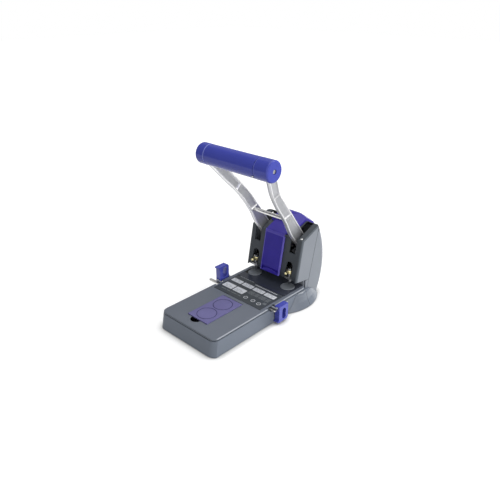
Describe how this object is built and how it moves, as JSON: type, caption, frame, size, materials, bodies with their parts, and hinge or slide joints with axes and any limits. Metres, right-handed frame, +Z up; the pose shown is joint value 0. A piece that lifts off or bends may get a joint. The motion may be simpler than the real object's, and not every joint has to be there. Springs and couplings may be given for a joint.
{
  "type": "heavy duty two-hole punch",
  "caption": "Heavy duty desk hole punch with a long grey base, leaning tower, cast lever arms with a violet cross grip, brass collared punches, flip-up stops and a violet storage lid.",
  "frame": {"origin": "on the table, below the middle of the line between the two cutting discs", "axes": "+X to the user's right, +Y away from the user along the base, +Z up"},
  "size_m": [0.17, 0.3027, 0.2932],
  "materials": {
    "grey_shell": "fine grained light grey moulding",
    "grey_cover": "fine grained mid grey moulding",
    "plate_steel": "plain rolled sheet",
    "rubber_black": "moulded black",
    "grey_foot": "fine grained grey moulding",
    "label_dark": "printed dark field, no words",
    "bed_black": "fine grained near black",
    "violet_clear": "see-through violet",
    "violet_solid": "smooth blue violet moulding",
    "bright_steel": "bright plated",
    "pad_grey": "soft grey plastic",
    "bar_steel": "ground bar",
    "charcoal": "fine grained charcoal moulding",
    "grey_tower": "fine grained light grey moulding",
    "punch_steel": "ground tool steel",
    "brass_nut": "turned brass",
    "cast_arm": "cast, with smooth raised rims"
  },
  "bodies": {
    "base": {"base_shell": "grey_shell", "base_cover": "grey_cover", "bottom_plate": "plate_steel", "feet": "rubber_black", "rear_foot": "grey_foot", "label_plate": "label_dark", "punch_bed": "bed_black", "lid_pin": "bright_steel", "spare_discs": "pad_grey", "guide_pins": "bright_steel", "tower_front": "charcoal", "side_cover_left": "grey_tower", "side_cover_right": "grey_tower", "rear_cover": "grey_tower", "door_pin": "bright_steel", "top_cover": "violet_clear", "cover_screws": "bright_steel", "frame_plate_left": "plate_steel", "frame_plate_right": "plate_steel", "pivot_shaft": "bar_steel", "punch_plate": "plate_steel", "throat_stop": "grey_tower"},
    "lever": {"lever_arm_left": "cast_arm", "lever_arm_right": "cast_arm", "drive_pins": "bar_steel", "cross_rod": "bright_steel", "handle_rod": "bright_steel", "handle_grip": "violet_solid", "handle_cap_left": "violet_solid", "handle_cap_right": "violet_solid", "handle_screws": "bright_steel"},
    "punches": {"punch_carrier": "punch_steel", "punch_left": "punch_steel", "punch_right": "punch_steel", "punch_collars": "brass_nut"},
    "lid": {"storage_lid": "violet_clear"},
    "door": {"chip_door": "violet_clear"},
    "disc_left": {"cutting_disc_left": "pad_grey"},
    "disc_right": {"cutting_disc_right": "pad_grey"},
    "stop_left": {"guide_stop_left": "violet_solid"},
    "stop_right": {"guide_stop_right": "violet_solid"},
    "bar": {"guide_bar": "bar_steel"}
  },
  "joints": [
    {"name": "lever_pivot", "type": "hinge", "parent": "base", "child": "lever", "pos_m": [0, 0.0501, 0.0917], "axis": [1, 0, 0], "range_deg": [-26, 14]},
    {"name": "punch_slide", "type": "slide", "parent": "base", "child": "punches", "axis": [0, 0, 1], "range_m": [-0.0048, 0.0088]},
    {"name": "lid_hinge", "type": "hinge", "parent": "base", "child": "lid", "pos_m": [0, -0.1006, 0.0308], "axis": [-1, 0, 0], "range_deg": [0, 100]},
    {"name": "door_hinge", "type": "hinge", "parent": "base", "child": "door", "pos_m": [0, 0.01085, 0.12446], "axis": [-1, 0, 0], "range_deg": [0, 90]},
    {"name": "disc_turn_left", "type": "hinge", "parent": "base", "child": "disc_left", "pos_m": [-0.04, 0, 0.032], "axis": [0, 0, 1], "range_deg": [-180, 180]},
    {"name": "disc_turn_right", "type": "hinge", "parent": "base", "child": "disc_right", "pos_m": [0.04, 0, 0.032], "axis": [0, 0, 1], "range_deg": [-180, 180]},
    {"name": "stop_turn_left", "type": "hinge", "parent": "base", "child": "stop_left", "pos_m": [-0.072, -0.0545, 0.0307], "axis": [0, 1, 0], "range_deg": [-180, 0]},
    {"name": "stop_turn_right", "type": "hinge", "parent": "base", "child": "stop_right", "pos_m": [0.072, -0.0545, 0.0307], "axis": [0, 1, 0], "range_deg": [-180, 0]},
    {"name": "bar_slide", "type": "slide", "parent": "base", "child": "bar", "axis": [1, 0, 0], "range_m": [-0.012, 0.018]}
  ],
  "couplings": [
    {"joint": "punch_slide", "follows": "lever_pivot", "m_per_rad": -0.0191}
  ]
}
